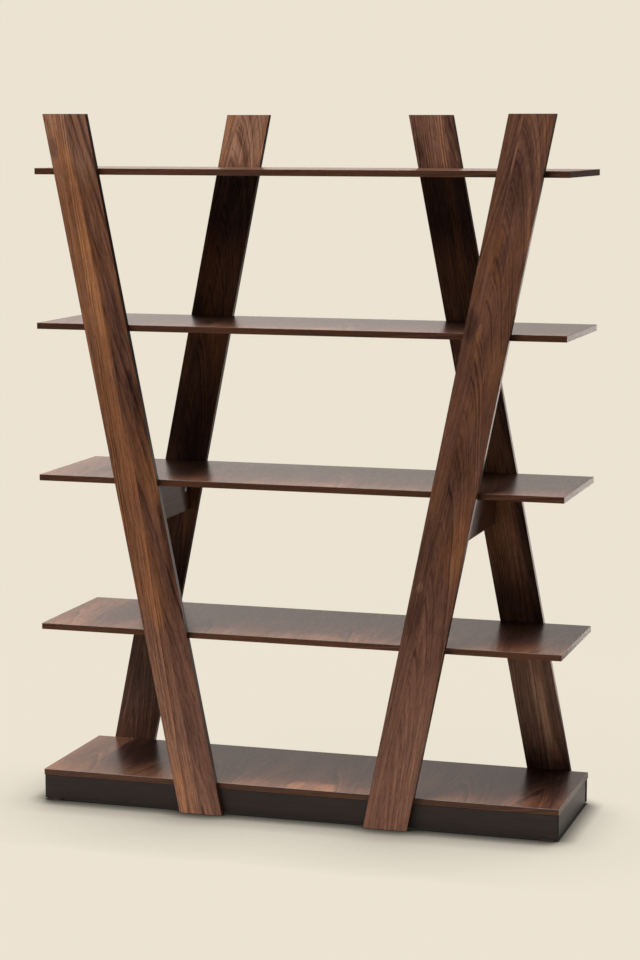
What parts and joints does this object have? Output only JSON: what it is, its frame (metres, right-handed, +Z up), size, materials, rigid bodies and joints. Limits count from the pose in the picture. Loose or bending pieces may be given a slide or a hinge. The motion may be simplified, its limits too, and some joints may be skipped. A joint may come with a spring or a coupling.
{
  "type": "geometric bookshelf",
  "caption": "Open walnut bookshelf: level shelves and a plinth base between canted planks that lean inwards in front and outwards behind, joined by cam locks.",
  "frame": {"origin": "on the floor, below the middle of the bookshelf", "axes": "+Z up, front towards -Y, +X to the right as seen from the front"},
  "size_m": [1.39, 0.4266, 1.8],
  "materials": {
    "shelf_board": "satin walnut veneer, grain front to back",
    "plank_board": "satin walnut veneer, grain along the plank",
    "stretcher_board": "satin walnut veneer",
    "plinth_board": "satin dark brown",
    "glide_plastic": "matt dark brown",
    "cam_zinc": "bare zinc die casting",
    "bolt_steel": "zinc-plated steel"
  },
  "bodies": {
    "root": {"base_panel": "shelf_board", "shelf_lower": "shelf_board", "shelf_middle": "shelf_board", "shelf_upper": "shelf_board", "shelf_top": "shelf_board", "front_plank_left": "plank_board", "front_plank_right": "plank_board", "rear_plank_left": "plank_board", "rear_plank_right": "plank_board", "side_stretcher_left": "stretcher_board", "side_stretcher_right": "stretcher_board", "plinth_front_rail": "plinth_board", "plinth_rear_rail": "plinth_board", "plinth_left_rail": "plinth_board", "plinth_right_rail": "plinth_board", "glide_front_left": "glide_plastic", "glide_front_right": "glide_plastic", "glide_rear_left": "glide_plastic", "glide_rear_right": "glide_plastic", "cam_lock_lower_front_left": "cam_zinc", "cam_lock_lower_front_right": "cam_zinc", "cam_lock_lower_rear_left": "cam_zinc", "cam_lock_lower_rear_right": "cam_zinc", "cam_lock_middle_front_left": "cam_zinc", "cam_lock_middle_front_right": "cam_zinc", "cam_lock_middle_rear_left": "cam_zinc", "cam_lock_middle_rear_right": "cam_zinc", "cam_lock_upper_front_left": "cam_zinc", "cam_lock_upper_front_right": "cam_zinc", "cam_lock_upper_rear_left": "cam_zinc", "cam_lock_upper_rear_right": "cam_zinc", "cam_lock_top_front_left": "cam_zinc", "cam_lock_top_front_right": "cam_zinc", "cam_lock_top_rear_left": "cam_zinc", "cam_lock_top_rear_right": "cam_zinc", "cam_lock_stretcher_front_left": "cam_zinc", "cam_lock_stretcher_front_right": "cam_zinc", "cam_lock_stretcher_rear_left": "cam_zinc", "cam_lock_stretcher_rear_right": "cam_zinc", "cam_bolt_lower_front_left": "bolt_steel", "cam_bolt_lower_front_right": "bolt_steel", "cam_bolt_lower_rear_left": "bolt_steel", "cam_bolt_lower_rear_right": "bolt_steel", "cam_bolt_middle_front_left": "bolt_steel", "cam_bolt_middle_front_right": "bolt_steel", "cam_bolt_middle_rear_left": "bolt_steel", "cam_bolt_middle_rear_right": "bolt_steel", "cam_bolt_upper_front_left": "bolt_steel", "cam_bolt_upper_front_right": "bolt_steel", "cam_bolt_upper_rear_left": "bolt_steel", "cam_bolt_upper_rear_right": "bolt_steel", "cam_bolt_top_front_left": "bolt_steel", "cam_bolt_top_front_right": "bolt_steel", "cam_bolt_top_rear_left": "bolt_steel", "cam_bolt_top_rear_right": "bolt_steel", "cam_bolt_stretcher_front_left": "bolt_steel", "cam_bolt_stretcher_front_right": "bolt_steel", "cam_bolt_stretcher_rear_left": "bolt_steel", "cam_bolt_stretcher_rear_right": "bolt_steel"}
  },
  "joints": []
}
